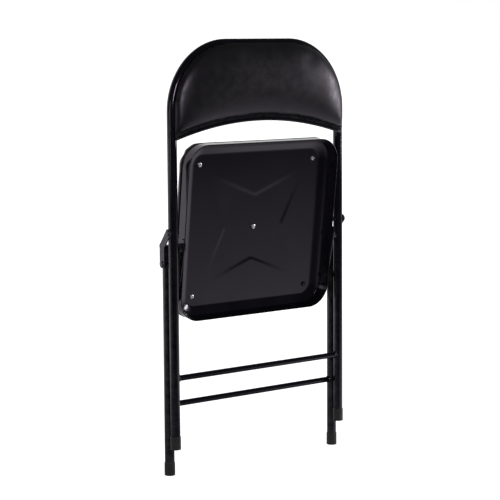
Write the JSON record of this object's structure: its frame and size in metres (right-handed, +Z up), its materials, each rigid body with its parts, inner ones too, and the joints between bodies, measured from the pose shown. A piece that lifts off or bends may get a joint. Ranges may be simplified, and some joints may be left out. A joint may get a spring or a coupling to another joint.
{
  "type": "folding chair",
  "caption": "Folding chair with a bent steel tube frame, hinged rear legs, a screwed-on padded seat over a pressed steel pan, and a padded backrest.",
  "frame": {"origin": "on the floor under the middle of the folded chair's box", "axes": "+X across the chair, to the right of a viewer who faces the backrest's padded side; -Y towards that viewer; +Z up"},
  "size_m": [0.4658, 0.0998, 0.886],
  "materials": {
    "black_enamel": "gloss black enamel on steel",
    "black_vinyl": "black vinyl with a fine grain",
    "zinc": "bright zinc plate",
    "foot_plastic": "black moulded plastic",
    "board": "bare particle board"
  },
  "bodies": {
    "frame": {"main_tube": "black_enamel", "front_crossbar": "black_enamel", "front_foot_left": "foot_plastic", "front_foot_right": "foot_plastic", "back_panel": "black_enamel", "back_board": "board", "back_pad": "black_vinyl", "back_screws": "zinc", "link_rivet_left": "black_enamel", "link_rivet_right": "black_enamel", "link_washer_left": "zinc", "link_washer_right": "zinc", "seat_stud_left": "black_enamel", "seat_stud_right": "black_enamel", "seat_spacer_left": "black_enamel", "seat_spacer_right": "black_enamel"},
    "seat": {"seat_pan": "black_enamel", "seat_board": "board", "seat_cushion": "black_vinyl", "seat_bracket_left": "black_enamel", "seat_bracket_right": "black_enamel", "seat_screw_front_left": "zinc", "seat_screw_front_right": "zinc", "seat_screw_centre": "zinc", "seat_screw_rear_left": "zinc", "seat_screw_rear_right": "black_enamel"},
    "rear_legs": {"rear_leg_left": "black_enamel", "rear_leg_right": "black_enamel", "rear_crossbar": "black_enamel", "rear_foot_left": "foot_plastic", "rear_foot_right": "foot_plastic", "leg_plug_left": "foot_plastic", "leg_plug_right": "foot_plastic", "leg_stud_left": "black_enamel", "leg_stud_right": "black_enamel", "leg_spacer_left": "black_enamel", "leg_spacer_right": "black_enamel"},
    "link_l": {"link_left": "black_enamel", "link_pin_left": "black_enamel"},
    "link_r": {"link_right": "black_enamel", "link_pin_right": "black_enamel"}
  },
  "joints": [
    {"name": "seat_fold", "type": "hinge", "parent": "frame", "child": "seat", "pos_m": [0, -0.018, 0.465], "axis": [1, 0, 0], "range_deg": [0, 105]},
    {"name": "leg_fold", "type": "hinge", "parent": "seat", "child": "rear_legs", "pos_m": [0, 0.0035, 0.377], "axis": [1, 0, 0], "range_deg": [-67.8, 0]},
    {"name": "link_fold_left", "type": "hinge", "parent": "frame", "child": "link_l", "pos_m": [-0.22925, -0.018, 0.5], "axis": [1, 0, 0], "range_deg": [0, 121.5]},
    {"name": "link_fold_right", "type": "hinge", "parent": "frame", "child": "link_r", "pos_m": [0.22925, -0.018, 0.5], "axis": [1, 0, 0], "range_deg": [0, 121.5]}
  ],
  "couplings": [
    {"joint": "leg_fold", "follows": "seat_fold", "ratio": -0.6433},
    {"joint": "link_fold_left", "follows": "seat_fold", "ratio": 1.1546},
    {"joint": "link_fold_right", "follows": "seat_fold", "ratio": 1.1546}
  ]
}
